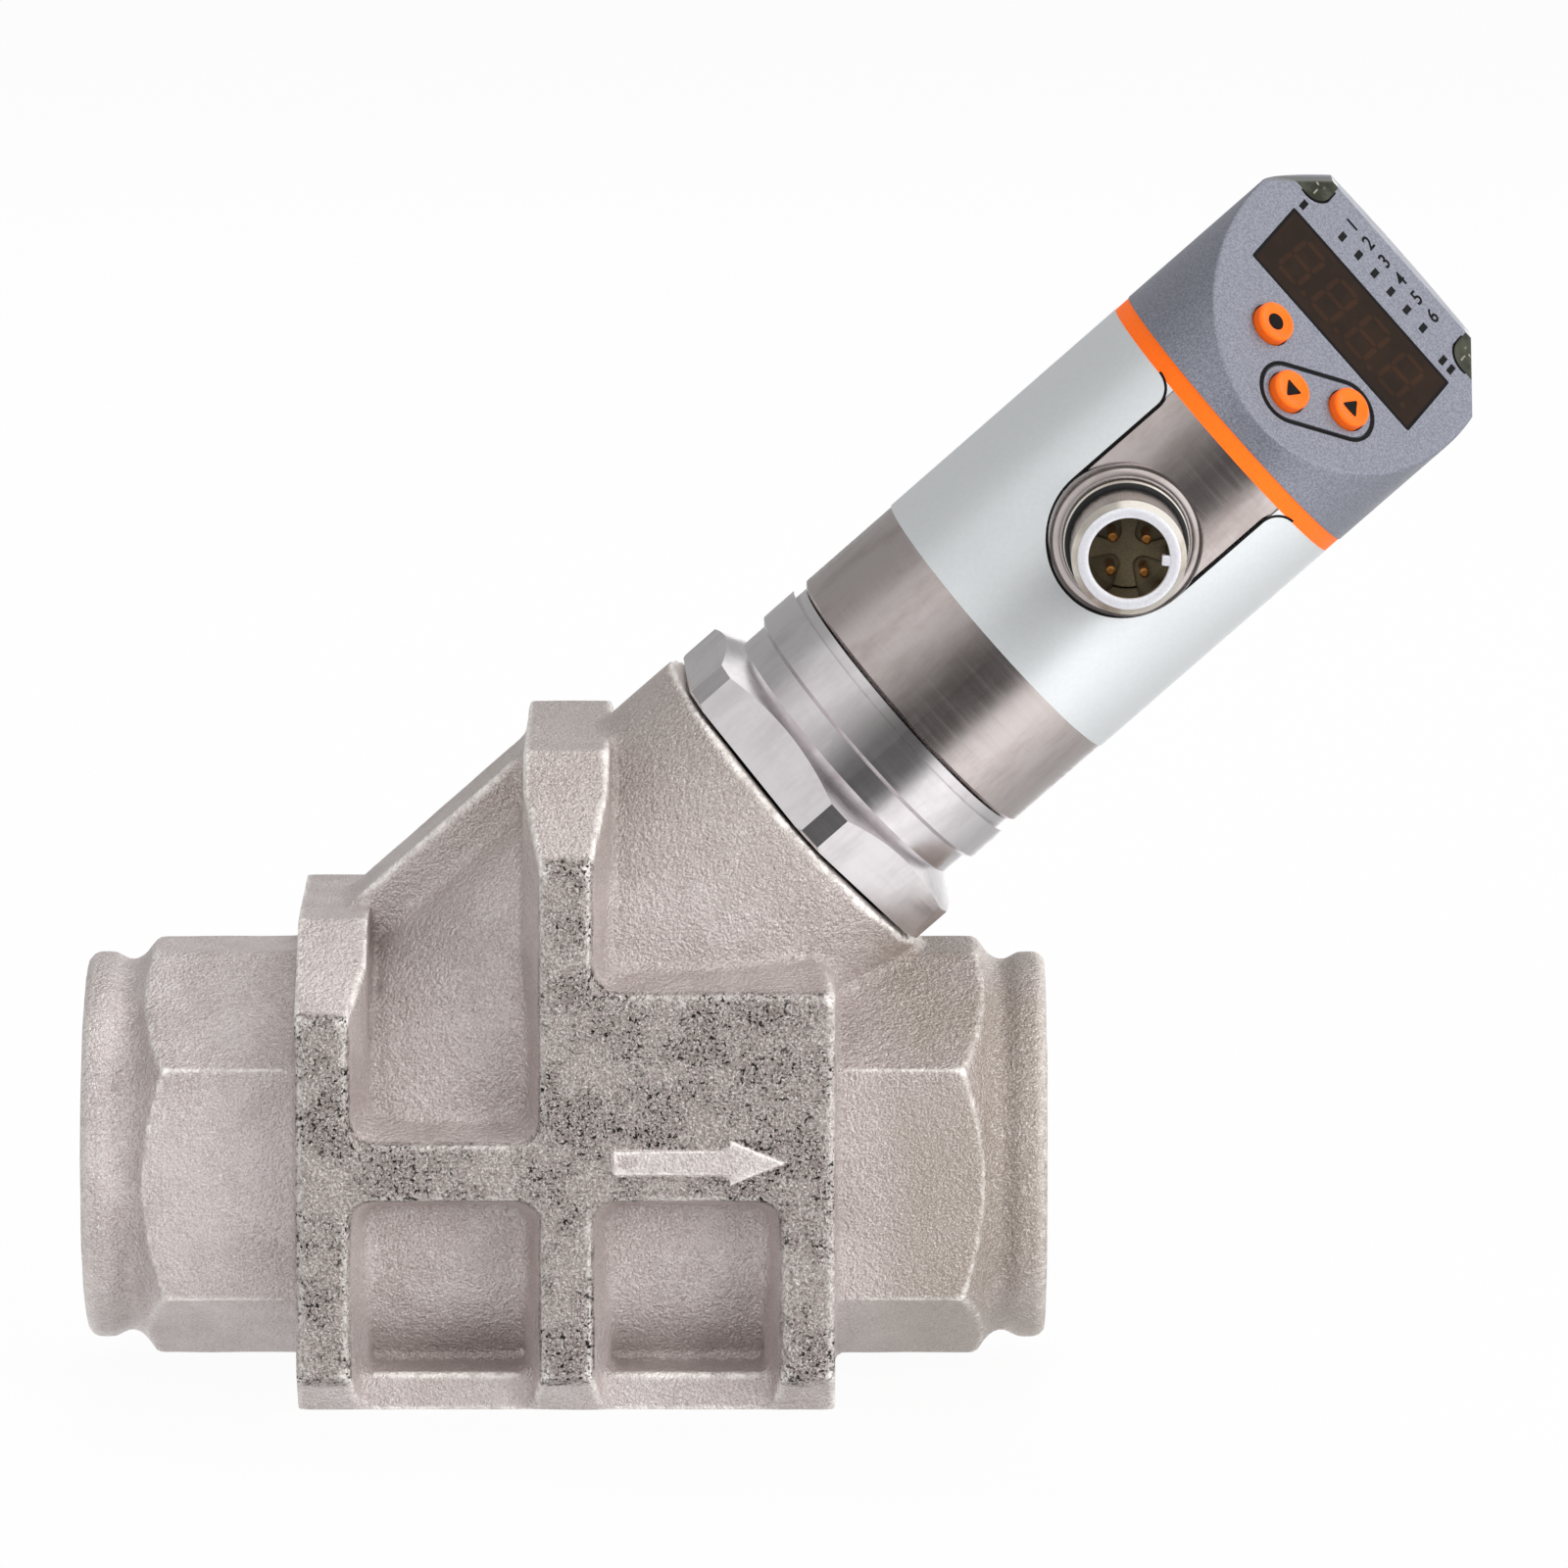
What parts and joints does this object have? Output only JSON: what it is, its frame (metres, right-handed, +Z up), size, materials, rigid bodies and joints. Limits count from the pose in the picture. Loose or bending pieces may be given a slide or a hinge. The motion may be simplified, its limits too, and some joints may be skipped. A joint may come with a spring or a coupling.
{
  "type": "flow meter",
  "caption": "Inline flow meter: forged brass Y-body with threaded ends, spring-loaded piston and a turning sensor head with display, buttons and round plug.",
  "frame": {"origin": "centre of the inlet face, on the pipe axis", "axes": "+X along the pipe from inlet to outlet, +Z up, the display and connector face -Y"},
  "size_m": [0.1473, 0.055, 0.1279],
  "materials": {
    "forged_brass": "nickel-plated forged brass, grained and matt",
    "stainless": "turned stainless steel, satin",
    "foil": "silver-white foil, satin",
    "spring_steel": "drawn spring wire",
    "magnet": "plain magnet, dark",
    "seal_rubber": "black rubber, matt",
    "orange_rubber": "orange silicone, satin",
    "orange_button": "orange moulded plastic, satin",
    "grey_housing": "grey metallic plastic, fine grain",
    "dark_window": "dark brown tinted window, glossy",
    "smoky_lamp": "smoky clear lamp window, glossy",
    "black_lamp": "black lamp window, glossy",
    "plug_metal": "nickel-plated brass, bright",
    "plug_insert": "dark olive moulded insert",
    "gold": "gold-plated contact, bright",
    "board": "green circuit board",
    "black_block": "black moulded block",
    "bush_plastic": "natural acetal plastic",
    "copper_flex": "amber flat cable"
  },
  "bodies": {
    "housing": {"valve_body": "forged_brass", "seat_ring": "stainless", "hex_adapter": "stainless", "probe_tube": "stainless", "probe_board": "board", "adapter_o_ring": "seal_rubber", "swivel_o_ring": "seal_rubber", "retaining_clip": "spring_steel", "return_spring": "spring_steel"},
    "piston_group": {"piston": "stainless", "piston_seal": "seal_rubber", "piston_magnet": "magnet"},
    "head": {"sensor_sleeve": "stainless", "label_foil": "foil", "swivel_bush": "bush_plastic", "connector_shell": "plug_metal", "connector_insert": "plug_insert", "contact_pins": "gold", "connector_o_ring": "seal_rubber", "seal_ring": "orange_rubber", "display_head": "grey_housing", "display_window": "dark_window", "unit_windows": "black_lamp", "led_window_left": "smoky_lamp", "led_window_right": "smoky_lamp", "display_board": "board", "key_switches": "black_block", "display_module": "black_block", "unit_lamps": "bush_plastic", "main_board": "board", "board_rails": "black_block", "board_link": "copper_flex"},
    "enter_key": {"button_enter": "orange_button"},
    "down_key": {"button_down": "orange_button"},
    "up_key": {"button_up": "orange_button"}
  },
  "joints": [
    {"name": "head_swivel", "type": "hinge", "parent": "housing", "child": "head", "pos_m": [0.0332, 0, 0], "axis": [0.749, 0, 0.6626], "range_deg": [-172.5, 172.5]},
    {"name": "piston_lift", "type": "slide", "parent": "housing", "child": "piston_group", "axis": [0.749, 0, 0.6626], "range_m": [0, 0.01], "stiffness_N_per_m": 150, "springref_m": -0.008, "deforming": ["return_spring"]},
    {"name": "enter_press", "type": "slide", "parent": "head", "child": "enter_key", "axis": [-0.5609, 0.6626, -0.4963], "range_m": [0, 0.0005], "stiffness_N_per_m": 800, "springref_m": -0.0003},
    {"name": "down_press", "type": "slide", "parent": "head", "child": "down_key", "axis": [-0.5609, 0.6626, -0.4963], "range_m": [0, 0.0005], "stiffness_N_per_m": 800, "springref_m": -0.0003},
    {"name": "up_press", "type": "slide", "parent": "head", "child": "up_key", "axis": [-0.5609, 0.6626, -0.4963], "range_m": [0, 0.0005], "stiffness_N_per_m": 800, "springref_m": -0.0003}
  ]
}
